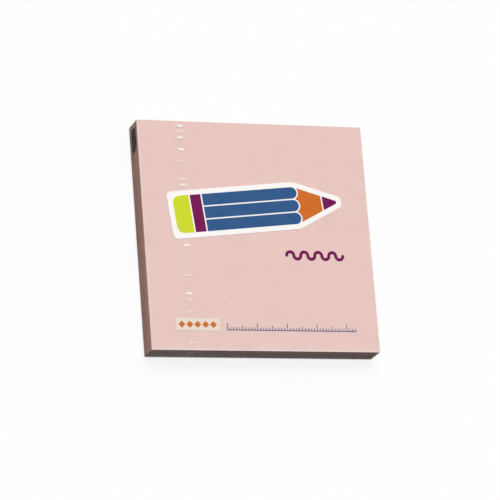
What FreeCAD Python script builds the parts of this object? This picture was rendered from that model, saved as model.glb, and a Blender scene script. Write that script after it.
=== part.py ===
import FreeCAD, Part
import math
import os

# A square pad of a hundred sticky notes on its backing sheet, sealed in a clear printed film.
# The pad lies on its back, with the printed front facing up.
# X runs across the front, Y up the front and Z through the thickness, all in millimetres.
# The origin is the middle of the wrap's underside.

# Paper
sheet_side = 76.0
sheet_count = 100
sheet_thickness = 0.085
backing_thickness = 0.09

# Film, its slack round the paper, and the folds that close it
film_thickness = 0.035
side_slack = 0.25
top_slack = 0.02
upper_flap_reach = 6.5
lower_flap_reach = 5.2
lap_edge_height = 4.0

# Tear line: a ladder of short crosswise nicks that runs right round the pad, leaning a little to the right
tear_line_inset = 13.8
tear_line_lean = 0.7
nick_length = 1.75
nick_width = 0.45
nick_lift = 0.14
nick_pitch = 2.0
nick_margin = 1.5
pressed_nick_width = 0.12
nick_print_clearance = 0.3

# Print
ink_thickness = 0.02
print_gap = 0.45

# Pencil drawn across the middle of the front, its point to the upper right
pencil_side_inset = 10.5
pencil_top_inset = 28.8
pencil_width = 12.5
pencil_tilt = 6.0
pencil_outline = 1.7
eraser_length = 5.5
eraser_corner = 2.4
ferrule_length = 3.6
taper_length = 14.0
lead_length = 4.6
point_width = 0.9
paint_scallop_setback = 0.8

# Wavy line below the pencil
wave_right_inset = 9.9
wave_top_inset = 44.2
wave_radius = 1.19
wave_stroke = 1.0
half_wave_count = 8

# Panel with a row of diamonds, near the lower left corner
panel_length = 14.4
panel_height = 4.1
panel_left_inset = 8.35
panel_low_inset = 6.3
diamond_width = 2.3
diamond_count = 5
diamond_pitch = 2.6

# Scale of ticks, from beside the panel to near the lower right corner
scale_panel_gap = 2.6
scale_right_inset = 6.8
scale_low_inset = 6.6
scale_line_width = 0.25
tick_width = 0.24
tick_pitch = 1.0
short_tick = 1.0
middle_tick = 1.6
long_tick = 2.3

# Bar printed over the folds of the left end. It reaches from just below the end's middle up towards the front
bar_length = 7.2
bar_top_inset = 2.3
bar_width = 4.0
bar_below_middle = 0.85
bar_corner = 1.8

# Sizes that follow
past = 1.0
block_low = film_thickness + backing_thickness
block_high = block_low + sheet_count * sheet_thickness
cavity_high = block_high + top_slack
wrap_height = cavity_high + film_thickness
half_sheet = sheet_side / 2
half_cavity = half_sheet + side_slack
half_wall = half_cavity + film_thickness
half_end = half_wall + 2 * film_thickness
inner_fold_radius = side_slack
outer_fold_radius = side_slack + film_thickness
tear_line_x = -half_sheet + tear_line_inset


def vector(x, y, z=0.0):
    return FreeCAD.Vector(x, y, z)


def block(low, high):
    """A box between two corners."""
    size = [b - a for a, b in zip(low, high)]
    return Part.makeBox(*size, vector(*low))


def rounded_block(low, high, radius):
    """A box between two corners, with all its edges rounded."""
    box = block(low, high)
    return box.makeFillet(radius, box.Edges)


def polygon(points):
    """A flat face with straight sides through the points."""
    return Part.Face(Part.makePolygon(points + points[:1]))


def rectangle(low_x, high_x, low_y, high_y):
    """A flat rectangle on the XY plane."""
    return polygon([vector(low_x, low_y), vector(high_x, low_y), vector(high_x, high_y), vector(low_x, high_y)])


def disc(x, y, radius):
    """A flat disc on the XY plane."""
    return Part.Face(Part.Wire(Part.makeCircle(radius, vector(x, y))))


def joined(faces):
    """Flat faces that meet or overlap, fused into one face with no seams."""
    first, *rest = faces
    return first.multiFuse(rest).removeSplitter().Faces[0]


# Paper


def note_block():
    """The notes, held together by their gummed strips, cut to size as one square block."""
    return block((-half_sheet, -half_sheet, block_low), (half_sheet, half_sheet, block_high))


def backing_sheet():
    """The release sheet that covers the gum of the lowest note."""
    return block((-half_sheet, -half_sheet, film_thickness), (half_sheet, half_sheet, block_low))


# Film


def flap(reach, fold_height, x_low, x_high):
    """One long flap of an end fold, as a prism along X. Its two ends lean in at 45 degrees from the fold."""
    inward = -1 if fold_height > 0 else 1
    edge_height = fold_height + inward * reach
    face = polygon([
        vector(x_low, -half_wall - past, fold_height - inward * past),
        vector(x_low, half_wall + past, fold_height - inward * past),
        vector(x_low, half_wall - reach, edge_height),
        vector(x_low, -half_wall + reach, edge_height),
    ])
    return face.extrude(vector(x_high - x_low, 0))


def end_layer(x_low, x_high, flaps):
    """The part of one layer of film at an end that none of the flaps covers."""
    slab = block((x_low, -half_wall - past, -past), (x_high, half_wall + past, wrap_height + past))
    for reach, fold_height in flaps:
        slab = slab.cut(flap(reach, fold_height, x_low - past, x_high + past))
    return slab


def end_steps():
    """What the folded end lacks outside its flaps, for the end at +X."""
    upper = (upper_flap_reach, wrap_height)
    lower = (lower_flap_reach, 0.0)
    top_layer = end_layer(half_wall + film_thickness, half_end + past, [upper])
    next_layer = end_layer(half_wall, half_wall + film_thickness, [upper, lower])
    return [top_layer, next_layer]


def folded_film():
    """The film folded round the pad: lapped along the lower side, with an envelope fold at each end."""
    outer = rounded_block(
        (-half_end, -half_wall - film_thickness, 0), (half_end, half_wall, wrap_height), outer_fold_radius
    )
    cavity = rounded_block(
        (-half_cavity, -half_cavity, film_thickness), (half_cavity, half_cavity, cavity_high), inner_fold_radius
    )
    below_lap = block((-half_end - past, -half_wall - past, -past), (half_end + past, -half_wall, lap_edge_height))
    steps = end_steps()
    mirrored = [s.mirror(vector(0, 0), vector(1, 0)) for s in steps]
    return outer.cut([below_lap, *steps, *mirrored]).cut(cavity)


def nick(width, quarter_turns, place):
    """The slot of one nick. It is cut through the film from its hinge line, towards the free edge of its lip."""
    depth = 3 * film_thickness
    slot = block((-nick_length / 2, -width, -depth), (nick_length / 2, 0, past / 2))
    return moved_to_wall(slot, quarter_turns, place)


def lip(quarter_turns, place):
    """The film of one nick, bent up from its hinge line."""
    reach = 0.93 * nick_width
    side = polygon([
        vector(-nick_length / 2, 0, 0),
        vector(-nick_length / 2, 0, -film_thickness),
        vector(-nick_length / 2, -reach, nick_lift - film_thickness),
        vector(-nick_length / 2, -reach, nick_lift),
    ])
    return moved_to_wall(side.extrude(vector(nick_length, 0)), quarter_turns, place)


def moved_to_wall(shape, quarter_turns, place):
    """A shape made for the front, turned about X to face another wall and moved to its place there."""
    shape.rotate(vector(0, 0), vector(1, 0), 90 * quarter_turns)
    shape.translate(place)
    return shape


def steps_along(first, last, pitch):
    """Places from first towards last, one pitch apart."""
    count = int(abs(last - first) / pitch + 1e-6) + 1
    direction = 1 if last > first else -1
    return [first + direction * pitch * i for i in range(count)]


def tear_line_at(y):
    """Where the leaning tear line lies across the pad, at one height of the front."""
    return tear_line_x + y * math.tan(math.radians(tear_line_lean))


def clear_of_print(y, printed):
    """True if a nick at y on the front lies clear of the printed shapes."""
    x = tear_line_at(y)
    footprint = rectangle(x - nick_length / 2, x + nick_length / 2, y - nick_width, y)
    return all(footprint.distToShape(face)[0] > nick_print_clearance for face in printed)


def tear_line(printed):
    """The slots and the lips of the tear line on all four walls that it crosses."""
    slots, lips = [], []
    for y in steps_along(half_sheet - nick_margin, -half_sheet + nick_margin, nick_pitch):
        if clear_of_print(y, printed):
            slots.append(nick(nick_width, 0, vector(tear_line_at(y), y, wrap_height)))
            lips.append(lip(0, vector(tear_line_at(y), y, wrap_height)))
        slots.append(nick(pressed_nick_width, 2, vector(tear_line_at(-y), -y, 0)))
    for z in steps_along(wrap_height - nick_margin, nick_margin / 2, nick_pitch):
        lapped = film_thickness if z > lap_edge_height + nick_width else 0.0
        lower_place = vector(tear_line_at(-half_wall), -half_wall - lapped, z)
        upper_place = vector(tear_line_at(half_wall), half_wall, wrap_height - z)
        for quarter_turns, place in ((1, lower_place), (3, upper_place)):
            slots.append(nick(nick_width, quarter_turns, place))
            lips.append(lip(quarter_turns, place))
    return slots, lips


def film_wrap(printed):
    """The folded film with its tear line."""
    slots, lips = tear_line(printed)
    return folded_film().cut(slots).multiFuse(lips)


# Print


def inked(face, level=0):
    """A printed shape as a thin layer on the front: on the film at level 0, on another ink at level 1."""
    shape = face.copy()
    shape.translate(vector(0, 0, wrap_height + level * ink_thickness))
    return shape.extrude(vector(0, 0, ink_thickness))


def on_pencil(face):
    """A face drawn on a level pencil, moved to the pencil's place and tilt."""
    shape = face.copy()
    shape.rotate(vector(0, 0), vector(0, 0, 1), pencil_tilt)
    shape.translate(vector(0, half_sheet - pencil_top_inset))
    return shape


pencil_high = half_sheet - pencil_side_inset
pencil_low = -pencil_high
half_pencil = pencil_width / 2
ferrule_low = pencil_low + eraser_length + print_gap
paint_low = ferrule_low + ferrule_length + print_gap
taper_low = pencil_high - taper_length
lead_low = pencil_high - lead_length


def pencil_outline_shape():
    """The pencil's own outline, widened all round."""
    half_point = point_width / 2
    silhouette = polygon([
        vector(pencil_low, -half_pencil),
        vector(taper_low, -half_pencil),
        vector(pencil_high, -half_point),
        vector(pencil_high, half_point),
        vector(taper_low, half_pencil),
        vector(pencil_low, half_pencil),
    ])
    return silhouette.makeOffset2D(pencil_outline)


def taper(x_low, x_high):
    """The stretch of the sharpened end between two places along the pencil."""
    slope = (half_pencil - point_width / 2) / taper_length
    low_half = half_pencil - slope * (x_low - taper_low)
    high_half = half_pencil - slope * (x_high - taper_low)
    return polygon([
        vector(x_low, -low_half),
        vector(x_high, -high_half),
        vector(x_high, high_half),
        vector(x_low, low_half),
    ])


def painted_facet(row, spread=0.0):
    """One of the three painted stripes along the barrel, with a rounded end. Spread widens it all round."""
    width = (pencil_width - 2 * print_gap) / 3
    centre = row * (width + print_gap)
    half = width / 2 + spread
    round_x = taper_low - paint_scallop_setback
    straight = rectangle(paint_low - spread, round_x, centre - half, centre + half)
    return joined([straight, disc(round_x, centre, half)])


def eraser():
    """The rubber at the blunt end, rounded at its two outer corners."""
    straight = rectangle(pencil_low + eraser_corner, pencil_low + eraser_length, -half_pencil, half_pencil)
    inner = rectangle(
        pencil_low, pencil_low + eraser_corner, -half_pencil + eraser_corner, half_pencil - eraser_corner
    )
    corners = [
        disc(pencil_low + eraser_corner, side * (half_pencil - eraser_corner), eraser_corner)
        for side in (-1, 1)
    ]
    return joined([straight, inner, *corners])


def half_wave(index):
    """One half circle of the wavy line's path. Odd ones hang down."""
    end_x = half_sheet - wave_right_inset - (half_wave_count - 1 - index) * 2 * wave_radius
    y = half_sheet - wave_top_inset
    crest = y + (-wave_radius if index % 2 else wave_radius)
    start = vector(end_x - 2 * wave_radius, y)
    middle = vector(end_x - wave_radius, crest)
    return Part.Arc(start, middle, vector(end_x, y)).toShape()


def wavy_line():
    """The wavy line, one stroke wide with round ends."""
    path = Part.Wire([half_wave(i) for i in range(half_wave_count)])
    rounded_joins, filled = 0, True
    return path.makeOffset2D(wave_stroke / 2, rounded_joins, filled)


panel_left = -half_sheet + panel_left_inset
panel_right = panel_left + panel_length
panel_low = -half_sheet + panel_low_inset


def panel():
    """The plain panel near the lower left corner."""
    return rectangle(panel_left, panel_right, panel_low, panel_low + panel_height)


def diamond(index):
    """One diamond of the row on the panel."""
    x = panel_left + panel_length / 2 + (index - (diamond_count - 1) / 2) * diamond_pitch
    y = panel_low + panel_height / 2
    half = diamond_width / 2
    return polygon([vector(x - half, y), vector(x, y - half), vector(x + half, y), vector(x, y + half)])


def tick_scale():
    """A base line with ticks standing on it, taller at every fifth and tenth."""
    low = -half_sheet + scale_low_inset
    half = tick_width / 2
    places = steps_along(panel_right + scale_panel_gap, half_sheet - scale_right_inset, tick_pitch)
    parts = [rectangle(places[0] - half, places[-1] + half, low, low + scale_line_width)]
    for index, x in enumerate(places):
        height = long_tick if index % 10 == 0 else middle_tick if index % 5 == 0 else short_tick
        parts.append(rectangle(x - half, x + half, low + scale_line_width / 2, low + height))
    return joined(parts)


def end_bar():
    """The bar printed on the left end, laid over each layer of the folds in turn."""
    high_y = half_wall - bar_top_inset
    low_y = high_y - bar_length
    low_z = wrap_height / 2 - bar_below_middle
    high_z = low_z + bar_width
    past_corner = low_y + bar_corner
    under_corner = high_z - bar_corner
    arc_middle = bar_corner * math.sqrt(0.5)
    corner = Part.Arc(
        vector(0, past_corner, high_z),
        vector(0, past_corner - arc_middle, under_corner + arc_middle),
        vector(0, low_y, under_corner),
    )
    straights = Part.makePolygon([
        vector(0, low_y, under_corner),
        vector(0, low_y, low_z),
        vector(0, high_y, low_z),
        vector(0, high_y, high_z),
        vector(0, past_corner, high_z),
    ])
    bar = Part.Face(Part.Wire([corner.toShape(), *straights.Edges]))
    upper_flap = flap(upper_flap_reach, wrap_height, -past, past)
    lower_flap = flap(lower_flap_reach, 0.0, -past, past).cut(upper_flap)
    on_flaps = [bar.common(upper_flap), bar.common(lower_flap)]
    on_tuck = bar.cut([upper_flap, lower_flap])
    layers = []
    for face, depth in zip([*on_flaps, on_tuck], (half_end, half_wall + film_thickness, half_wall)):
        face.translate(vector(-depth, 0))
        layers.append(face.extrude(vector(-ink_thickness, 0)))
    return Part.makeCompound([s for layer in layers for s in layer.Solids])


def bare_wood():
    """The wood between the paint and the lead, with a gap along the paint's scalloped edge."""
    wood = taper(taper_low, lead_low - print_gap)
    return wood.cut([painted_facet(row, print_gap) for row in (-1, 0, 1)]).Faces[0]


def prints():
    """Each ink's printed shapes on the front, by the node that holds them."""
    white = on_pencil(pencil_outline_shape())
    blue = [on_pencil(painted_facet(row)) for row in (-1, 0, 1)]
    wood = on_pencil(bare_wood())
    rubber = on_pencil(eraser())
    ferrule = on_pencil(rectangle(ferrule_low, ferrule_low + ferrule_length, -half_pencil, half_pencil))
    lead = on_pencil(taper(lead_low, pencil_high))
    diamonds = [diamond(i) for i in range(diamond_count)]
    return {
        "white_print": [(white, 0)],
        "blue_print": [(f, 1) for f in blue],
        "orange_print": [(wood, 1)] + [(f, 1) for f in diamonds],
        "lime_print": [(rubber, 1)],
        "purple_print": [(ferrule, 1), (lead, 1), (wavy_line(), 0)],
        "cream_print": [(panel(), 0)],
        "slate_print": [(tick_scale(), 0)],
    }


def ink_node(fields):
    """One ink as a group of thin solids."""
    layers = [inked(face, level) for face, level in fields]
    return Part.makeCompound([s for layer in layers for s in layer.Solids])


def main():
    printed = prints()
    grounds = [face for name in ("white_print", "cream_print") for face, _ in printed[name]]
    nodes = {name: ink_node(fields) for name, fields in printed.items()}
    nodes["end_print"] = end_bar()
    nodes["film_wrap"] = film_wrap(grounds)
    nodes["note_block"] = note_block()
    nodes["backing_sheet"] = backing_sheet()
    os.makedirs("parts", exist_ok=True)
    for name, shape in nodes.items():
        shape.exportStep(os.path.join("parts", name + ".step"))
        print(name, len(shape.Solids), "solids, volume", round(shape.Volume, 3), "valid", shape.isValid())


main()
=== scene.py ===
import math
import random

import bpy
from mathutils import Matrix, Vector, noise
from mathutils.bvhtree import BVHTree
from mathutils.geometry import delaunay_2d_cdt, intersect_point_line


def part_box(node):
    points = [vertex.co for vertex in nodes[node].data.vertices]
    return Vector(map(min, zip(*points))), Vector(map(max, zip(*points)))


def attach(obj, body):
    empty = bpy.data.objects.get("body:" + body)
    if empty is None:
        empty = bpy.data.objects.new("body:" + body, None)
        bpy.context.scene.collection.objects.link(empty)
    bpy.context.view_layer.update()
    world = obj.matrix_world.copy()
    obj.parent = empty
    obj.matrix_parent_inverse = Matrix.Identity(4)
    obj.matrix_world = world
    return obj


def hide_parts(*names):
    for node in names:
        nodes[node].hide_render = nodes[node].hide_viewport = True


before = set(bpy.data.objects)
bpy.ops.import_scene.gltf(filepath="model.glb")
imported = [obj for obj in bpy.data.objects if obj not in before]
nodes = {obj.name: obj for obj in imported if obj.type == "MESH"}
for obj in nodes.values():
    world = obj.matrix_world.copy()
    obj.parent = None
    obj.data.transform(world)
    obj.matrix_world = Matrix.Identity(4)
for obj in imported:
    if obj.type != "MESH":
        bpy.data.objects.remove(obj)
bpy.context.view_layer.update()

# Lengths are in metres, and those of the pad come from its solids
MM = 0.001
block_low, block_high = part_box("note_block")
half_sheet = block_high.x
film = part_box("backing_sheet")[0].z
wrap_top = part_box("white_print")[0].z
bar_low, bar_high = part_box("end_print")

# The film, as it is folded round the pad. Its skin is a little thinner than in the solids
side_slack = 0.25 * MM
fold_radius = side_slack + film
half_wall = half_sheet + side_slack + film
half_end = half_wall + 2 * film
upper_flap_reach = 6.5 * MM
lower_flap_reach = 5.2 * MM
lap_edge_height = 4.0 * MM
skin_share = 0.86

# Its grid: the steps round each fold, and the longest steps along the walls
arc_steps = 4
side_step = 0.8 * MM
back_step = 1.0 * MM
front_step = 0.55 * MM

# How far it stands off the front in puckers and ripples, and sinks in on the sides and ends in waves
pucker_height = 0.04 * MM
pucker_size = 2.4 * MM
pucker_reach = 2.6 * MM
ripple_height = 0.015 * MM
ripple_size = 6.0 * MM
long_wave_depth = 0.11 * MM
long_wave_size = 9 * MM
short_wave_depth = 0.035 * MM
short_wave_size = 2.6 * MM

# How much it has whitened on its folds and walls and on each layer over the ends, the painted highlight along
# the front's left and lower rims, and a lighter strip along the front's lower edge
fold_haze = 0.03
wall_haze = {"lap_inner": 0.3, "lap_outer": 0.21, "far": 0.04}
wall_haze_fade = 0.3
left_rim_painted_highlight = 0.18
lower_rim_painted_highlight = 0.7
rim_width = 0.5 * MM
lower_strip_haze = 0.09
lower_strip_width = 3.5 * MM
layer_haze = (0.08, 0.015, 0.0)

# Its shine, its veil where it stands off the paper, and the share of the grey veil that paints a shadow below
# the nicks
film_shine = 0.06
loose_haze = 0.03
painted_shadow_haze = 0.14

# Layers of film on top of the lowest one, where each wall of the wrap runs on over the two ends
end_layers = {"lap_inner": 0, "back": 1, "far": 0, "front": 2, "lap_outer": 0}

# The tear line
tear_line_x = -half_sheet + 13.8 * MM
tear_line_lean = math.radians(0.7)
lean_fade_start = 3 * MM
lean_fade_end = 9 * MM
nick_length = 1.75 * MM
nick_width = 0.45 * MM
nick_pitch = 2.0 * MM
nick_margin = 1.5 * MM
side_nick_count = 4
pressed_nick_width = 0.12 * MM
nick_print_clearance = 0.3 * MM
# How strong the painted shadow is that the lip of a nick on the front casts below it
nick_painted_shadow = 0.6

# The lip of a nick: its lift, its bow, and its rows of points by their reach and rise from the hinge line
lip_lift = 0.085 * MM
lip_bow = 0.45
lip_rows = ((0.5, 0.3), (0.93, 1.0))
lip_edge_haze = 0.25

# How wide open the nicks stand. Those on the front are counted from the top edge. The rest are nearly shut
wide_nicks = (0, 2, 4, 10, 20, 28, 37)
half_open_nicks = (1, 6, 9, 25, 29, 31, 36)
half_openness = 0.5
shut_openness = 0.05
wall_openness = {"lap_inner": 0.6, "lap_outer": 0.6, "back": 0.6, "far": 0.3}

# The paper
leaf_count = 100
leaf_slip = 0.01 * MM
bundle_slip = 0.02 * MM
bundle_chance = 0.14
leaf_groove = 0.02 * MM
leaf_edge_start = 0.2
leaf_edge_end = 0.85
points_per_side = 12

# The studio: the world's even light on the pad, the floor's tone as the camera sees it and as it lights the
# pad, and how much of what the camera sees of the floor is a glow of its own
ambient_level = 0.128
floor_white = (0.99, 0.99, 0.99, 1.0)
floor_bounce = (0.11, 0.11, 0.11, 1.0)
floor_glow = 0.88

random.seed(76)


# Helpers


def linear(red, green, blue):
    """A colour given in the usual 0 to 255 steps, as Blender's own colour values."""
    shares = [c / 255 for c in (red, green, blue)]
    return tuple(s / 12.92 if s <= 0.04045 else ((s + 0.055) / 1.055) ** 2.4 for s in shares) + (1.0,)


def smooth_step(low, high, value):
    """0 below low, 1 above high, and a smooth change between."""
    t = min(max((value - low) / (high - low), 0.0), 1.0)
    return t * t * (3 - 2 * t)


def spread(start, end, count):
    """Evenly spaced values from start to end, in count steps."""
    return [start + (end - start) * i / count for i in range(count + 1)]


def new_object(name, vertices, faces):
    """A mesh object made of points and faces."""
    mesh = bpy.data.meshes.new(name)
    mesh.from_pydata(vertices, [], faces)
    mesh.update()
    piece = bpy.data.objects.new(name, mesh)
    bpy.context.scene.collection.objects.link(piece)
    return piece


def apply_modifiers(piece):
    """Replaces the object's mesh by what its modifiers make of it."""
    depsgraph = bpy.context.evaluated_depsgraph_get()
    made = bpy.data.meshes.new_from_object(piece.evaluated_get(depsgraph))
    piece.modifiers.clear()
    old = piece.data
    piece.data = made
    bpy.data.meshes.remove(old)


def dress(piece, material):
    """Gives an object one material."""
    piece.data.materials.clear()
    piece.data.materials.append(material)


# The paper


def leaf_places():
    """How far each leaf has slipped and turned. Leaves slip a little each, and in bundles."""
    places = []
    bundle = (0.0, 0.0, 0.0)
    for _ in range(leaf_count):
        if random.random() < bundle_chance:
            bundle = (
                random.uniform(-bundle_slip, bundle_slip),
                random.uniform(-bundle_slip, bundle_slip),
                random.uniform(-bundle_slip, bundle_slip) / half_sheet,
            )
        places.append((
            bundle[0] + random.uniform(-leaf_slip, leaf_slip),
            bundle[1] + random.uniform(-leaf_slip, leaf_slip),
            bundle[2],
        ))
    return places


def square_ring(half, z, place):
    """Points round a square leaf at one height, slipped and turned to its place."""
    slip_x, slip_y, turn = place
    corners = [(-half, -half), (half, -half), (half, half), (-half, half)]
    ring = []
    for (x0, y0), (x1, y1) in zip(corners, corners[1:] + corners[:1]):
        for step in range(points_per_side):
            t = step / points_per_side
            x = x0 + (x1 - x0) * t
            y = y0 + (y1 - y0) * t
            ring.append((x - turn * y + slip_x, y + turn * x + slip_y, z))
    return ring


def make_notes():
    """The hundred notes as one closed stack, with a fine groove between each leaf and the next."""
    pitch = (block_high.z - block_low.z) / leaf_count
    rings = []
    for index, place in enumerate(leaf_places()):
        z = block_low.z + index * pitch
        rings.append(square_ring(half_sheet - leaf_groove, z, place))
        rings.append(square_ring(half_sheet, z + leaf_edge_start * pitch, place))
        rings.append(square_ring(half_sheet, z + leaf_edge_end * pitch, place))
    rings.append(square_ring(half_sheet - leaf_groove, block_high.z, place))
    count = len(rings[0])
    vertices = [point for ring in rings for point in ring]
    faces = []
    for low in range(0, len(vertices) - count, count):
        for i in range(count):
            j = (i + 1) % count
            faces.append((low + i, low + j, low + count + j, low + count + i))
    faces.append(tuple(reversed(range(count))))
    faces.append(tuple(range(len(vertices) - count, len(vertices))))
    return new_object("note_leaves", vertices, faces)


# The film


def print_tree():
    """A search tree of the inks that lie right on the film's front."""
    vertices, faces = [], []
    for name in ("white_print", "cream_print", "slate_print", "purple_print"):
        mesh = nodes[name].data
        start = len(vertices)
        vertices += [v.co.copy() for v in mesh.vertices]
        faces += [[start + i for i in p.vertices] for p in mesh.polygons]
    return BVHTree.FromPolygons(vertices, faces)


printed = print_tree()


def print_distance(x, y):
    """How far a point of the front lies from the print."""
    return printed.find_nearest(Vector((x, y, wrap_top)))[3]


def nick_places():
    """The hinge lines of the nicks on the front, from the top edge down."""
    count = int((2 * (half_sheet - nick_margin)) / nick_pitch + 1e-6) + 1
    return [half_sheet - nick_margin - i * nick_pitch for i in range(count)]


def lean_shift(x, y):
    """How far the tear line's lean moves the film's grid lines sideways. It fades away from the tear line."""
    fade = smooth_step(lean_fade_start, lean_fade_end, abs(x - tear_line_x))
    return y * math.tan(tear_line_lean) * (1 - fade)


def clear_of_print(y):
    """True if the nick that starts at y on the front lies clear of the print."""
    middle = tear_line_x + lean_shift(tear_line_x, y)
    across = spread(middle - nick_length / 2, middle + nick_length / 2, 8)
    return all(print_distance(x, y - s) > nick_print_clearance for x in across for s in (0, nick_width))


def lines_between(start, end, nicks, width, longest):
    """Grid lines from start to end that pass each nick's two edges, with the nicks' hinge lines marked."""
    direction = 1 if end > start else -1
    marks = {start: False, end: False}
    for place in nicks:
        marks[place] = True
        marks[place + direction * width] = False
    ordered = sorted(marks, reverse=direction < 0)
    lines = []
    for low, high in zip(ordered, ordered[1:]):
        steps = max(1, math.ceil(abs(high - low) / longest))
        lines.append((low, marks[low]))
        lines += [(v, False) for v in spread(low, high, steps)[1:-1]]
    lines.append((end, False))
    return lines


def fold_line(centre_y, centre_z, first_angle, end_x):
    """Stations round one quarter-turn fold, without its two ends."""
    stations = []
    for step in range(1, arc_steps):
        angle = first_angle + math.pi / 2 * step / arc_steps
        normal = (math.cos(angle), math.sin(angle))
        share = step / arc_steps
        x = end_x[0] + (end_x[1] - end_x[0]) * share
        point = (centre_y + fold_radius * normal[0], centre_z + fold_radius * normal[1])
        stations.append({"yz": point, "normal": normal, "wall": "fold", "nick": False, "end": x})
    return stations


def wall_line(name, fixed, lines, along_y, normal, end_x):
    """Stations along one flat wall."""
    stations = []
    for value, starts_nick in lines:
        point = (value, fixed) if along_y else (fixed, value)
        stations.append({"yz": point, "normal": normal, "wall": name, "nick": starts_nick, "end": end_x})
    return stations


def tube_profile():
    """The film's way round the pad, seen along X, from under the lap's free edge round to that edge."""
    r = fold_radius
    lap = -half_wall - film
    side_end, back_end, front_end = half_wall, half_wall + film, half_end
    side_nicks = [wrap_top - nick_margin - i * nick_pitch for i in range(side_nick_count)]
    nicks_below_lap = [z for z in side_nicks if z < lap_edge_height]
    nicks_in_lap = [z for z in side_nicks if z > lap_edge_height + nick_width]
    far_nicks = [wrap_top - z for z in side_nicks]
    front_nicks = [y for y in nick_places() if clear_of_print(y)]
    back_nicks = [-y for y in nick_places()]
    inner = lines_between(lap_edge_height, r, nicks_below_lap, nick_width, side_step)
    back = lines_between(-half_wall + r, half_wall - r, back_nicks, pressed_nick_width, back_step)
    far = lines_between(r, wrap_top - r, far_nicks, nick_width, side_step)
    front = lines_between(half_wall - r, lap + r, front_nicks, nick_width, front_step)
    outer = lines_between(wrap_top - r, lap_edge_height, nicks_in_lap, nick_width, side_step)
    return (
        wall_line("lap_inner", -half_wall, inner, False, (-1, 0), side_end)
        + fold_line(-half_wall + r, r, math.pi, (side_end, back_end))
        + wall_line("back", 0, back, True, (0, -1), back_end)
        + fold_line(half_wall - r, r, -math.pi / 2, (back_end, side_end))
        + wall_line("far", half_wall, far, False, (1, 0), side_end)
        + fold_line(half_wall - r, wrap_top - r, 0, (side_end, front_end))
        + wall_line("front", wrap_top, front, True, (0, 1), front_end)
        + fold_line(lap + r, wrap_top - r, math.pi / 2, (front_end, side_end))
        + wall_line("lap_outer", lap, outer, False, (-1, 0), side_end)
    )


def grid_columns():
    """The film's grid lines from the left end to the right, close together over the tear line."""
    near = nick_length / 2
    far = 4 * MM
    edge = half_end - fold_radius
    return (
        spread(-edge, tear_line_x - far, 8)[:-1]
        + spread(tear_line_x - far, tear_line_x - near, 8)[:-1]
        + spread(tear_line_x - near, tear_line_x + near, 6)[:-1]
        + spread(tear_line_x + near, tear_line_x + far, 8)[:-1]
        + spread(tear_line_x + far, edge, 48)
    )


def wave(x, y, seed, size):
    """A smooth random height between about -1 and 1, in waves of one size."""
    return noise.noise(Vector((x, y, seed)) / size)


def front_slack(x, y):
    """How high the film stands off the front: small puckers by the tear line, and none under the print."""
    away = smooth_step(0.6 * MM, 3.0 * MM, print_distance(x, y))
    inside = smooth_step(0.0, 1.5 * MM, half_sheet - max(abs(x), abs(y)))
    by_tear = math.exp(-((x - tear_line_x) / pucker_reach) ** 2)
    pucker = 0.5 + 0.5 * wave(x, 1.8 * y, 3.0, pucker_size)
    ripple = max(0.0, wave(0.35 * x, y, 7.0, ripple_size))
    return away * inside * (pucker_height * by_tear * pucker + ripple_height * ripple)


def wall_slack(along, z, seed):
    """How far the film of a side wall or an end sinks in towards the paper."""
    inside = smooth_step(0.0, 2.2 * MM, min(z, wrap_top - z))
    long_waves = 0.5 + 0.5 * wave(along, 2.5 * z, seed, long_wave_size)
    short_waves = 0.5 + 0.5 * wave(along, 0.6 * z, seed + 5, short_wave_size)
    return -inside * (long_wave_depth * long_waves + short_wave_depth * short_waves)


def slack(station, x):
    """How far the film stands off its own flat wall, outwards."""
    y, z = station["yz"]
    if station["wall"] == "front":
        return front_slack(x, y)
    if station["wall"] in ("far", "lap_inner", "lap_outer"):
        taper = smooth_step(0.0, 3 * MM, half_wall - abs(x))
        return taper * wall_slack(x, z, 11.0 if y > 0 else 23.0)
    return 0.0


def tube_point(station, x, turn=0.0, side=0):
    """A point of the tube. Past its ends, turn carries it round the fold towards the end wall."""
    y, z = station["yz"]
    ny, nz = station["normal"]
    if side:
        reach = fold_radius * math.sin(turn)
        drop = fold_radius * (1 - math.cos(turn))
        x = side * (station["end"] - fold_radius + reach)
    else:
        drop = -slack(station, x)
        if abs(x) > half_sheet - 4 * MM:
            x = x * (station["end"] - fold_radius) / (half_end - fold_radius)
        x += lean_shift(x, y)
    return (x, y - ny * drop, z - nz * drop)


def end_slack(y, z, side):
    """How far the film of an end wall sinks in towards the paper. It stays flat under the print."""
    inside = smooth_step(0.0, 4.0 * MM, half_wall - abs(y))
    if side < 0:
        from_bar = max(bar_low.y - y, y - bar_high.y, bar_low.z - z, z - bar_high.z)
        inside *= smooth_step(0.2 * MM, 2.0 * MM, from_bar)
    return inside * wall_slack(y, z, 31.0 + 8.0 * side)


class Sheet:
    """The points and faces of a thin sheet, with how white the film is at each point, from tearing, haze and
    a painted highlight, and how much painted shadow it carries.
    """

    def __init__(self):
        self.points = []
        self.whitening_and_painted_highlight = []
        self.painted_shadow = []
        self.faces = []

    def add(self, point, whitening_and_painted_highlight=0.0):
        """Adds a point and gives its number."""
        self.points.append(point)
        self.whitening_and_painted_highlight.append(whitening_and_painted_highlight)
        self.painted_shadow.append(0.0)
        return len(self.points) - 1

    def quad(self, a, b, c, d):
        self.faces.append((a, b, c, d))

    def face(self, corners, side):
        """A face whose corners run the other way round on the left end."""
        self.faces.append(tuple(corners) if side > 0 else tuple(reversed(corners)))


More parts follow.
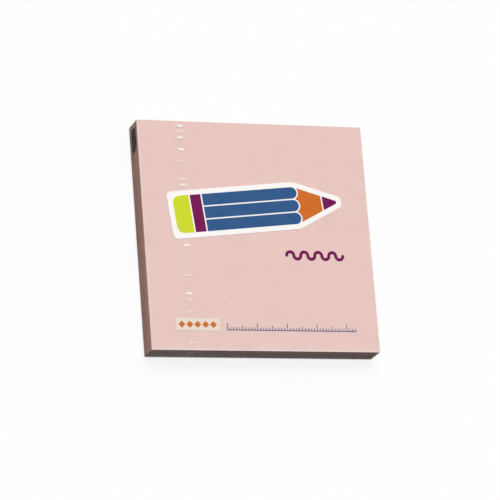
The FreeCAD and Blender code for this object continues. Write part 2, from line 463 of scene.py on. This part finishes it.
def whitening(station, x):
    """How white the film is at a point of the tube: whitened on its walls and folds, with a painted highlight
    along the front's left and lower rims and a lighter strip along its lower edge.
    """
    if station["wall"] == "fold":
        return fold_haze
    if station["wall"] != "front":
        return wall_haze.get(station["wall"], 0.0) * (1 - wall_haze_fade * x / half_sheet)
    y = station["yz"][0]
    from_end = half_end - fold_radius - abs(x)
    from_wall = half_wall - fold_radius - abs(y)
    hazes = [0.0]
    # A lighter strip and a painted highlight along the lower edge, and a painted highlight along the left
    # edge
    if y < 0:
        hazes.append(lower_strip_haze * (1 - smooth_step(0.0, lower_strip_width, from_wall)))
        hazes.append(lower_rim_painted_highlight * (1 - smooth_step(0.0, rim_width, from_wall)))
    if x < 0:
        hazes.append(left_rim_painted_highlight * (1 - smooth_step(0.0, rim_width, from_end)))
    return max(hazes)


def nick_openness(station):
    """How wide a nick stands open, from 0 to 1."""
    if station["wall"] != "front":
        return wall_openness[station["wall"]]
    index = round((half_sheet - nick_margin - station["yz"][0]) / nick_pitch)
    return 1.0 if index in wide_nicks else half_openness if index in half_open_nicks else shut_openness


def add_lip(sheet, profile, columns, s, low_x, high_x):
    """The film of one nick, bent up from its hinge line, with a bow across it. Those on the back lie flat."""
    first, second = profile[s]["yz"], profile[s + 1]["yz"]
    way = Vector((0, second[0] - first[0], second[1] - first[1]))
    out = Vector((0, *profile[s]["normal"]))
    open_share = nick_openness(profile[s]) * random.uniform(0.85, 1.0)
    lift = 0.0 if profile[s]["wall"] == "back" else lip_lift * (0.1 + 0.85 * open_share)
    rows = [columns[s][low_x:high_x + 1]]
    for reach, rise in lip_rows:
        row = []
        for step, hinge in enumerate(rows[0]):
            across = 2 * step / (high_x - low_x) - 1
            bow = 1 - lip_bow * across * across
            start = Vector(sheet.points[hinge])
            row.append(sheet.add(tuple(start + way * reach + out * lift * rise * bow), open_share))
        rows.append(row)
    for low, high in zip(rows, rows[1:]):
        for i in range(len(low) - 1):
            sheet.quad(low[i], high[i], high[i + 1], low[i + 1])
    for hinge in rows[0]:
        sheet.whitening_and_painted_highlight[hinge] = open_share
    # The far edge of each nick whitens a little, and on the front it also carries a painted shadow of the lip
    for edge in columns[s + 1][low_x:high_x + 1]:
        sheet.whitening_and_painted_highlight[edge] = lip_edge_haze * open_share
        sheet.painted_shadow[edge] = nick_painted_shadow if profile[s]["wall"] == "front" else 0.0


def add_tube(sheet, profile):
    """The tube with its rounded ends. Returns the last rows of points at both ends."""
    turns = [math.pi / 2 * step / arc_steps for step in range(1, arc_steps + 1)]
    xs = grid_columns()
    columns = []
    for station in profile:
        row = [sheet.add(tube_point(station, 0, turn, -1), fold_haze) for turn in reversed(turns)]
        row += [sheet.add(tube_point(station, x), whitening(station, x)) for x in xs]
        row += [sheet.add(tube_point(station, 0, turn, 1), fold_haze) for turn in turns]
        columns.append(row)
    low_x = arc_steps + xs.index(min(xs, key=lambda x: abs(x - tear_line_x + nick_length / 2)))
    high_x = arc_steps + xs.index(min(xs, key=lambda x: abs(x - tear_line_x - nick_length / 2)))
    for s in range(len(profile) - 1):
        for i in range(len(columns[s]) - 1):
            in_nick = profile[s]["nick"] and low_x <= i < high_x
            if not in_nick:
                sheet.quad(columns[s][i], columns[s + 1][i], columns[s + 1][i + 1], columns[s][i + 1])
        if profile[s]["nick"]:
            add_lip(sheet, profile, columns, s, low_x, high_x)
    for i in range(len(columns[0]) - 1):
        sheet.quad(columns[-1][i], columns[0][i], columns[0][i + 1], columns[-1][i + 1])
    return [c[0] for c in columns], [c[-1] for c in columns]


def end_outline(sheet, profile, ends):
    """The film's outline round one end, in millimetres, with the tube's points that lie at each place."""
    outline = []
    for station, index in zip(profile, ends):
        place = Vector(sheet.points[index][1:]) / MM
        if outline and (place - outline[-1][0]).length < 1e-4:
            outline[-1][1].append((station["wall"], index))
        else:
            outline.append((place, [(station["wall"], index)]))
    return outline


def flap_lines(outline):
    """The edges of the two long flaps over one end, where they can be seen, and the end's four corners."""
    corners = [place for place, chain in outline if len(chain) > 1]
    back_left, back_right, front_right, front_left = corners
    depth = (upper_flap_reach - fold_radius) / MM
    lines = []
    free_edge = []
    for back, front, inward in ((back_left, front_left, 1), (back_right, front_right, -1)):
        rise = (front.y - back.y - abs(front.x - back.x)) / 2
        meeting = back + Vector((inward * rise, rise))
        free_corner = front + Vector((inward * depth, -depth))
        lines += [(back, meeting), (front, meeting), (meeting, free_corner)]
        free_edge.append(free_corner)
    return lines + [tuple(free_edge)], corners


def under_flap(place, left, right, reach):
    """True if a place on an end lies under the long flap that is folded over between two of its corners."""
    from_fold = abs(place.y - right.y)
    return from_fold <= min((reach - fold_radius) / MM, right.x - place.x, place.x - left.x)


def layer_at(place, corners):
    """How many layers of film lie over the lowest one at a place on an end."""
    back_left, back_right, front_right, front_left = corners
    if under_flap(place, front_left, front_right, upper_flap_reach):
        return end_layers["front"]
    if under_flap(place, back_left, back_right, lower_flap_reach):
        return end_layers["back"]
    return 0


def distance_to(place, line):
    """How far a place lies from a straight line between two others."""
    nearest, share = intersect_point_line(place, line[0], line[1])
    if not 0 <= share <= 1:
        nearest = line[0] if share < 0 else line[1]
    return (Vector(place[:2]) - Vector(nearest[:2])).length


def end_triangles(outline, lines, corners):
    """The end cut up into small triangles along the flaps' edges: places, triangles and outline numbers."""
    line_step, line_clearance, grid_width, grid_height = 0.7, 0.3, 72, 11
    places = [place for place, _ in outline]
    edges = [(i, (i + 1) % len(outline)) for i in range(len(outline))]

    def number(place):
        """A place's number in the list, where it is added if it is new."""
        for index, known in enumerate(places):
            if (known - place).length < 1e-4:
                return index
        places.append(place)
        return len(places) - 1

    for start, end in lines:
        steps = math.ceil((end - start).length / line_step)
        numbers = [number(start.lerp(end, s / steps)) for s in range(steps + 1)]
        edges += list(zip(numbers, numbers[1:]))
    borders = lines + [(places[a], places[b]) for a, b in edges[:len(outline)]]
    for y in spread(corners[0].x, corners[1].x, grid_width)[1:-1]:
        for z in spread(corners[1].y, corners[2].y, grid_height)[1:-1]:
            place = Vector((y, z))
            if all(distance_to(place, line) > line_clearance for line in borders):
                places.append(place)
    made, _, triangles, origins, _, _ = delaunay_2d_cdt(places, edges, [], 1, 1e-5)
    numbers = [next((i for i in origin if i < len(outline)), None) for origin in origins]
    return made, triangles, numbers


def add_end(sheet, profile, ends, side):
    """The film over one end: both side walls tucked in, then the back's flap, then the front's on top."""
    outline = end_outline(sheet, profile, ends)
    lines, corners = flap_lines(outline)
    places, triangles, numbers = end_triangles(outline, lines, corners)
    layers = [layer_at(sum((places[v] for v in t), Vector((0, 0))) / 3, corners) for t in triangles]
    points = {}

    def point(v, layer):
        """The point of one layer at a place. On the outline it is one of the tube's own."""
        if numbers[v] is not None:
            chain = outline[numbers[v]][1]
            return next((i for wall, i in chain if end_layers.get(wall) == layer), chain[0][1])
        if (v, layer) not in points:
            y, z = places[v] * MM
            x = side * (half_wall + layer * film + end_slack(y, z, side))
            points[v, layer] = sheet.add((x, y, z), layer_haze[layer])
        return points[v, layer]

    def between(v, first):
        """The tube's points between two layers at a place on the outline, from the one next to first on."""
        chain = [i for _, i in outline[numbers[v]][1]] if numbers[v] is not None else []
        return chain[1:-1] if chain and chain[0] == first else chain[-2:0:-1]

    edge_layers = {}
    for triangle, layer in zip(triangles, layers):
        sheet.face([point(v, layer) for v in triangle], side)
        for a, b in zip(triangle, (*triangle[1:], triangle[0])):
            edge_layers[a, b] = layer
    for (a, b), layer in edge_layers.items():
        lower = edge_layers.get((b, a), layer)
        if lower < layer:
            over_a, over_b = point(a, layer), point(b, layer)
            under_a, under_b = point(a, lower), point(b, lower)
            step = [over_b, over_a, *between(a, over_a), under_a, under_b, *between(b, under_b)]
            sheet.face(step, side)


def make_film():
    """The clear film, folded round the pad, as one thin closed skin."""
    sheet = Sheet()
    profile = tube_profile()
    for side, ends in zip((-1, 1), add_tube(sheet, profile)):
        add_end(sheet, profile, ends, side)
    piece = new_object("clear_film", sheet.points, sheet.faces)
    for name, values in (("whitening_and_painted_highlight", sheet.whitening_and_painted_highlight), ("painted_shadow", sheet.painted_shadow)):
        piece.data.attributes.new(name, "FLOAT", "POINT").data.foreach_set("value", values)
    thickness = piece.modifiers.new("thickness", "SOLIDIFY")
    thickness.thickness = film * skin_share
    thickness.offset = -1
    apply_modifiers(piece)
    piece.data.shade_smooth()
    piece.data.set_sharp_from_angle(angle=math.radians(40))
    return piece


# Node groups shared by the materials


def new_group(name, inputs, outputs):
    """An empty shader group with its input and output nodes. A socket has a name, a kind, maybe a default."""
    group = bpy.data.node_groups.new(name, "ShaderNodeTree")
    kinds = {"value": "NodeSocketFloat", "colour": "NodeSocketColor"}
    for socket_name, kind, *default in inputs:
        socket = group.interface.new_socket(socket_name, in_out="INPUT", socket_type=kinds[kind])
        if default:
            socket.default_value = default[0]
    for socket_name, kind in outputs:
        group.interface.new_socket(socket_name, in_out="OUTPUT", socket_type=kinds[kind])
    return group, group.nodes.new("NodeGroupInput"), group.nodes.new("NodeGroupOutput")


def math_node(tree, operation, first, second=None, third=None):
    """A maths node. Each operand is a number or a socket. Returns its output."""
    node = tree.nodes.new("ShaderNodeMath")
    node.operation = operation
    for index, operand in enumerate((first, second, third)):
        if operand is None:
            continue
        if isinstance(operand, (int, float)):
            node.inputs[index].default_value = operand
        else:
            tree.links.new(operand, node.inputs[index])
    return node.outputs[0]


def weighted_sum(tree, first, first_share, second, second_share):
    """Two values added up, each with its own share."""
    second_part = math_node(tree, "MULTIPLY", second, second_share)
    return math_node(tree, "MULTIPLY_ADD", first, first_share, second_part)


def mix_colour(tree, factor, first, second):
    """A colour mix. Each operand is a value, a colour or a socket. Returns its output."""
    node = tree.nodes.new("ShaderNodeMix")
    node.data_type = "RGBA"
    for name, operand in (("Factor", factor), ("A", first), ("B", second)):
        kind = "VALUE" if name == "Factor" else "RGBA"
        socket = next(s for s in node.inputs if s.name == name and s.type == kind)
        if isinstance(operand, (int, float, tuple)):
            socket.default_value = operand
        else:
            tree.links.new(operand, socket)
    return next(s for s in node.outputs if s.type == "RGBA")


def remap(tree, value, from_low, from_high, to_low=0.0, to_high=1.0):
    """A value carried smoothly from one range to another."""
    node = tree.nodes.new("ShaderNodeMapRange")
    node.interpolation_type = "SMOOTHSTEP"
    for socket, number in zip(node.inputs[1:5], (from_low, from_high, to_low, to_high)):
        socket.default_value = number
    tree.links.new(value, node.inputs[0])
    return node.outputs[0]


def object_place(tree, stretch=(1, 1, 1)):
    """The place on the object, each axis stretched."""
    place = tree.nodes.new("ShaderNodeTexCoord").outputs["Object"]
    if stretch == (1, 1, 1):
        return place
    node = tree.nodes.new("ShaderNodeVectorMath")
    node.operation = "MULTIPLY"
    node.inputs[1].default_value = stretch
    tree.links.new(place, node.inputs[0])
    return node.outputs[0]


def noise_node(tree, place, scale, detail=3.0, roughness=0.5):
    """A noise texture's height. Scale is a number or a socket."""
    node = tree.nodes.new("ShaderNodeTexNoise")
    tree.links.new(place, node.inputs["Vector"])
    if isinstance(scale, (int, float)):
        node.inputs["Scale"].default_value = scale
    else:
        tree.links.new(scale, node.inputs["Scale"])
    node.inputs["Detail"].default_value = detail
    node.inputs["Roughness"].default_value = roughness
    return node.outputs["Fac"]


def fibre_group():
    """Paper: a web of short fibres with a cloudy formation."""
    group, given, result = new_group(
        "paper_fibre",
        [
            ("Tone", "colour"),
            ("Deep tone", "colour"),
            ("Fibre size", "value", 0.5 * MM),
            ("Cloud size", "value", 6 * MM),
        ],
        [("Colour", "colour"), ("Height", "value")],
    )
    place = object_place(group)
    fibre_scale = math_node(group, "DIVIDE", 1.0, given.outputs["Fibre size"])
    cloud_scale = math_node(group, "DIVIDE", 1.0, given.outputs["Cloud size"])
    fibres = noise_node(group, place, fibre_scale, 5.0, 0.65)
    clouds = noise_node(group, place, cloud_scale, 2.0)
    depth = remap(group, weighted_sum(group, fibres, 0.6, clouds, 0.4), 0.34, 0.66)
    colour = mix_colour(group, depth, given.outputs["Tone"], given.outputs["Deep tone"])
    group.links.new(colour, result.inputs["Colour"])
    group.links.new(fibres, result.inputs["Height"])
    return group


def ink_group():
    """Print on film: an even lay with a fine mottle, and tiny thin spots where less ink has taken."""
    group, given, result = new_group(
        "ink_lay",
        [("Ink", "colour"), ("Thin ink", "colour"), ("Spot size", "value", 0.18 * MM)],
        [("Colour", "colour"), ("Roughness", "value"), ("Height", "value")],
    )
    place = object_place(group)
    mottle = noise_node(group, place, 1 / (1.6 * MM), 4.0, 0.6)
    spot_scale = math_node(group, "DIVIDE", 1.0, given.outputs["Spot size"])
    spots = noise_node(group, place, spot_scale, 2.0, 0.5)
    uneven = remap(group, mottle, 0.35, 0.7)
    bare = remap(group, spots, 0.66, 0.76)
    thin = weighted_sum(group, uneven, 0.22, bare, 0.5)
    colour = mix_colour(group, thin, given.outputs["Ink"], given.outputs["Thin ink"])
    group.links.new(colour, result.inputs["Colour"])
    group.links.new(remap(group, mottle, 0.3, 0.7, 0.3, 0.42), result.inputs["Roughness"])
    group.links.new(mottle, result.inputs["Height"])
    return group


paper_fibre = fibre_group()
ink_lay = ink_group()


# Materials


def new_material(name):
    """A material with an empty node tree and its output node."""
    material = bpy.data.materials.new(name)
    material.use_nodes = True
    tree = material.node_tree
    tree.nodes.clear()
    return material, tree, tree.nodes.new("ShaderNodeOutputMaterial")


def use_group(tree, group, values):
    """A group placed in a material, with its own values or sockets."""
    node = tree.nodes.new("ShaderNodeGroup")
    node.node_tree = group
    for name, value in values.items():
        if isinstance(value, (int, float, tuple)):
            node.inputs[name].default_value = value
        else:
            tree.links.new(value, node.inputs[name])
    return node


def bump(tree, height, distance, strength):
    """A normal that follows a fine height."""
    node = tree.nodes.new("ShaderNodeBump")
    node.inputs["Distance"].default_value = distance
    node.inputs["Strength"].default_value = strength
    tree.links.new(height, node.inputs["Height"])
    return node.outputs["Normal"]


def flatness(tree):
    """1 on faces that lie flat, and 0 on upright ones."""
    parts = tree.nodes.new("ShaderNodeSeparateXYZ")
    tree.links.new(tree.nodes.new("ShaderNodeNewGeometry").outputs["True Normal"], parts.inputs[0])
    return math_node(tree, "ABSOLUTE", parts.outputs["Z"])


def note_paper():
    """Pastel pink note paper: faintly fibrous on its face, deeper and streaked along its cut edges. The
    deeper edge tone is partly the edges' own and partly painted shade that darkens towards the back.
    """
    material, tree, output = new_material("note_paper")
    face = use_group(tree, paper_fibre, {
        "Tone": linear(238, 206, 199),
        "Deep tone": linear(234, 200, 193),
        "Fibre size": 0.45 * MM,
        "Cloud size": 7 * MM,
    })
    streaks = noise_node(tree, object_place(tree, (60, 60, 9000)), 1.0, 3.0, 0.6)
    blade_marks = noise_node(tree, object_place(tree, (1400, 1400, 90)), 1.0, 2.0)
    streaked = remap(tree, weighted_sum(tree, streaks, 0.75, blade_marks, 0.25), 0.32, 0.68)
    # Painted shade on the cut edges: darker towards the back of the pad, lighter towards the front
    place = tree.nodes.new("ShaderNodeSeparateXYZ")
    tree.links.new(object_place(tree), place.inputs[0])
    painted_light_to_front = remap(tree, place.outputs["Z"], 0.35 * block_high.z, 1.1 * block_high.z)
    # The edge tones are deeper than the face, partly the cut edges' own tone and partly painted shade
    edge_in_painted_shade = mix_colour(tree, streaked, linear(205, 152, 135), linear(191, 137, 120))
    edge_in_painted_light = mix_colour(tree, streaked, linear(245, 186, 166), linear(234, 172, 152))
    edge = mix_colour(tree, painted_light_to_front, edge_in_painted_shade, edge_in_painted_light)
    colour = mix_colour(tree, remap(tree, flatness(tree), 0.97, 0.85), face.outputs["Colour"], edge)
    shader = tree.nodes.new("ShaderNodeBsdfPrincipled")
    shader.inputs["Roughness"].default_value = 0.85
    shader.inputs["Specular IOR Level"].default_value = 0.03
    tree.links.new(colour, shader.inputs["Base Color"])
    tree.links.new(bump(tree, face.outputs["Height"], 0.01 * MM, 0.35), shader.inputs["Normal"])
    tree.links.new(shader.outputs[0], output.inputs["Surface"])
    return material


def release_paper():
    """The backing sheet: smooth, slightly yellow release paper with a cloudy body."""
    material, tree, output = new_material("release_paper")
    web = use_group(tree, paper_fibre, {
        "Tone": linear(240, 233, 214),
        "Deep tone": linear(228, 219, 196),
        "Fibre size": 0.8 * MM,
        "Cloud size": 4 * MM,
    })
    shader = tree.nodes.new("ShaderNodeBsdfPrincipled")
    shader.inputs["Roughness"].default_value = 0.42
    tree.links.new(web.outputs["Colour"], shader.inputs["Base Color"])
    tree.links.new(bump(tree, web.outputs["Height"], 0.01 * MM, 0.2), shader.inputs["Normal"])
    tree.links.new(shader.outputs[0], output.inputs["Surface"])
    return material


def clear_film():
    """Clear packing film: see-through, glossy at a slant, white where it is torn, where it is hazed and where
    a painted highlight lies along the front's rims, and dark grey where a painted shadow lies below the
    nicks.
    """
    material, tree, output = new_material("clear_film")
    backfacing = tree.nodes.new("ShaderNodeNewGeometry").outputs["Backfacing"]
    front_side = math_node(tree, "SUBTRACT", 1.0, backfacing)
    fine = noise_node(tree, object_place(tree), 900.0, 3.0, 0.55)
    normal = bump(tree, fine, 0.02 * MM, 0.12)

    fresnel = tree.nodes.new("ShaderNodeFresnel")
    fresnel.inputs["IOR"].default_value = 1.45
    tree.links.new(normal, fresnel.inputs["Normal"])
    clear = tree.nodes.new("ShaderNodeBsdfTransparent")
    gloss = tree.nodes.new("ShaderNodeBsdfPrincipled")
    gloss.inputs["Base Color"].default_value = (1.0, 1.0, 1.0, 1.0)
    gloss.inputs["Metallic"].default_value = 1.0
    tree.links.new(remap(tree, fine, 0.3, 0.7, 0.1, 0.2), gloss.inputs["Roughness"])
    tree.links.new(normal, gloss.inputs["Normal"])
    shine = tree.nodes.new("ShaderNodeMixShader")
    shine_share = math_node(tree, "MULTIPLY", fresnel.outputs[0], film_shine)
    tree.links.new(math_node(tree, "MULTIPLY", shine_share, front_side), shine.inputs[0])
    tree.links.new(clear.outputs[0], shine.inputs[1])
    tree.links.new(gloss.outputs[0], shine.inputs[2])

    on_wall = remap(tree, flatness(tree), 0.7, 0.3)
    stands_off = remap(tree, noise_node(tree, object_place(tree, (70, 70, 420)), 1.0, 2.0), 0.42, 0.66)
    loose = math_node(tree, "MULTIPLY", math_node(tree, "MULTIPLY", stands_off, on_wall), loose_haze)
    # The film's whiteness from tearing and haze, together with the painted highlight along the front's rims
    whitening_and_painted_highlight = tree.nodes.new("ShaderNodeAttribute")
    whitening_and_painted_highlight.attribute_name = "whitening_and_painted_highlight"
    painted_shadow = tree.nodes.new("ShaderNodeAttribute")
    painted_shadow.attribute_name = "painted_shadow"
    haze = tree.nodes.new("ShaderNodeBsdfPrincipled")
    # Where the film carries painted shadow, its veil turns dark grey
    shade = mix_colour(tree, painted_shadow.outputs["Fac"], (1.0, 0.99, 0.985, 1.0), (0.3, 0.24, 0.24, 1.0))
    tree.links.new(shade, haze.inputs["Base Color"])
    haze.inputs["Roughness"].default_value = 0.5
    whitened = tree.nodes.new("ShaderNodeMixShader")
    white_share = math_node(tree, "ADD", whitening_and_painted_highlight.outputs["Fac"], loose)
    haze_share = math_node(tree, "MULTIPLY_ADD", painted_shadow.outputs["Fac"], painted_shadow_haze, white_share)
    tree.links.new(math_node(tree, "MULTIPLY", haze_share, front_side), whitened.inputs[0])
    tree.links.new(shine.outputs[0], whitened.inputs[1])
    tree.links.new(haze.outputs[0], whitened.inputs[2])
    tree.links.new(whitened.outputs[0], output.inputs["Surface"])
    return material


def ink(name, tone, thin_tone, shine=0.06):
    """One printed ink, given by its colour where it lies full and where it lies thin."""
    material, tree, output = new_material(name)
    lay = use_group(tree, ink_lay, {
        "Ink": linear(*tone),
        "Thin ink": linear(*thin_tone),
        "Spot size": 0.18 * MM,
    })
    shader = tree.nodes.new("ShaderNodeBsdfPrincipled")
    shader.inputs["Specular IOR Level"].default_value = shine
    tree.links.new(lay.outputs["Colour"], shader.inputs["Base Color"])
    tree.links.new(lay.outputs["Roughness"], shader.inputs["Roughness"])
    tree.links.new(bump(tree, lay.outputs["Height"], 0.01 * MM, 0.15), shader.inputs["Normal"])
    tree.links.new(shader.outputs[0], output.inputs["Surface"])
    return material


# Each ink's colour where it lies full and where it lies thin. The ink on the end has less shine than the rest
inks = {
    "white_print": ((255, 252, 250), (250, 241, 238)),
    "blue_print": ((47, 88, 137), (70, 108, 150)),
    "orange_print": ((210, 110, 38), (218, 130, 68)),
    "lime_print": ((209, 221, 42), (214, 222, 84)),
    "purple_print": ((116, 16, 82), (134, 48, 104)),
    "cream_print": ((236, 223, 211), (238, 214, 204)),
    "slate_print": ((88, 96, 140), (116, 120, 156)),
    "end_print": ((40, 58, 92), (52, 68, 98), 0.01),
}


# The stage


def seen_directly(tree):
    """1 for what the camera sees, also in gloss and through clear pieces, and 0 for the light on the pad."""
    path = tree.nodes.new("ShaderNodeLightPath")
    through = math_node(tree, "MAXIMUM", path.outputs["Is Glossy Ray"], path.outputs["Is Transmission Ray"])
    return math_node(tree, "MAXIMUM", path.outputs["Is Camera Ray"], through)


def make_floor():
    """A plain pale floor. It throws less light back on the pad than it shows to the camera."""
    half = 3.0
    z = -0.2 * MM
    corners = [(-half, -half, z), (half, -half, z), (half, half, z), (-half, half, z)]
    floor = new_object("floor", corners, [(0, 1, 2, 3)])
    material, tree, output = new_material("pale_floor")
    shader = tree.nodes.new("ShaderNodeBsdfDiffuse")
    glow = tree.nodes.new("ShaderNodeEmission")
    lit = tree.nodes.new("ShaderNodeMixShader")
    seen = seen_directly(tree)
    tree.links.new(mix_colour(tree, seen, floor_bounce, floor_white), shader.inputs["Color"])
    tree.links.new(math_node(tree, "MULTIPLY", seen, floor_glow), lit.inputs[0])
    tree.links.new(shader.outputs[0], lit.inputs[1])
    tree.links.new(glow.outputs[0], lit.inputs[2])
    tree.links.new(lit.outputs[0], output.inputs["Surface"])
    dress(floor, material)


def make_world():
    """White to the camera and in reflections, and a weak even light on the rest."""
    world = bpy.data.worlds.new("studio")
    bpy.context.scene.world = world
    world.use_nodes = True
    tree = world.node_tree
    tree.nodes.clear()
    output = tree.nodes.new("ShaderNodeOutputWorld")
    background = tree.nodes.new("ShaderNodeBackground")
    background.inputs["Color"].default_value = (1.0, 1.0, 1.0, 1.0)
    strength = math_node(tree, "MULTIPLY_ADD", seen_directly(tree), 1.0 - ambient_level, ambient_level)
    tree.links.new(strength, background.inputs["Strength"])
    tree.links.new(background.outputs[0], output.inputs["Surface"])


def sun(name, direction, strength, width_degrees):
    """A soft light from far away. Direction points from the pad to the light."""
    lamp = bpy.data.lights.new(name, "SUN")
    lamp.energy = strength
    lamp.angle = math.radians(width_degrees)
    holder = bpy.data.objects.new(name, lamp)
    holder.rotation_euler = Vector(direction).to_track_quat("Z", "Y").to_euler()
    bpy.context.scene.collection.objects.link(holder)


def make_camera():
    """The camera at the photograph's angle: high over the lower left corner, turned so the pad is upright."""
    azimuth = math.radians(-47.589)
    elevation = math.radians(64.672)
    roll = math.radians(46.005)
    distance = 1.00446
    target = Vector((-1.682, -3.374, 4.34)) * MM
    back = Vector((
        math.sin(azimuth) * math.cos(elevation),
        -math.cos(azimuth) * math.cos(elevation),
        math.sin(elevation),
    ))
    right = Vector((0, 0, 1)).cross(back).normalized()
    up = back.cross(right)
    turned_right = right * math.cos(roll) + up * math.sin(roll)
    turned_up = up * math.cos(roll) - right * math.sin(roll)
    lens = bpy.data.cameras.new("camera")
    lens.lens = 226.181
    lens.sensor_width = 36
    camera = bpy.data.objects.new("camera", lens)
    axes = Matrix((turned_right, turned_up, back)).transposed().to_4x4()
    camera.matrix_world = Matrix.Translation(target + back * distance) @ axes
    bpy.context.scene.collection.objects.link(camera)
    bpy.context.scene.camera = camera


# The pad

notes = make_notes()
dress(notes, note_paper())
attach(notes, "root")
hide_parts("note_block")

wrap = make_film()
dress(wrap, clear_film())
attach(wrap, "root")
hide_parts("film_wrap")

dress(nodes["backing_sheet"], release_paper())
for ink_name, lay in inks.items():
    dress(nodes[ink_name], ink(ink_name, *lay))

make_floor()
make_world()
sun("key", (-0.11, 0.42, 0.9), 2.57, 32)
sun("fill", (0.85, 0.42, 0.3), 0.95, 40)
make_camera()
bpy.context.scene.view_settings.view_transform = "Standard"
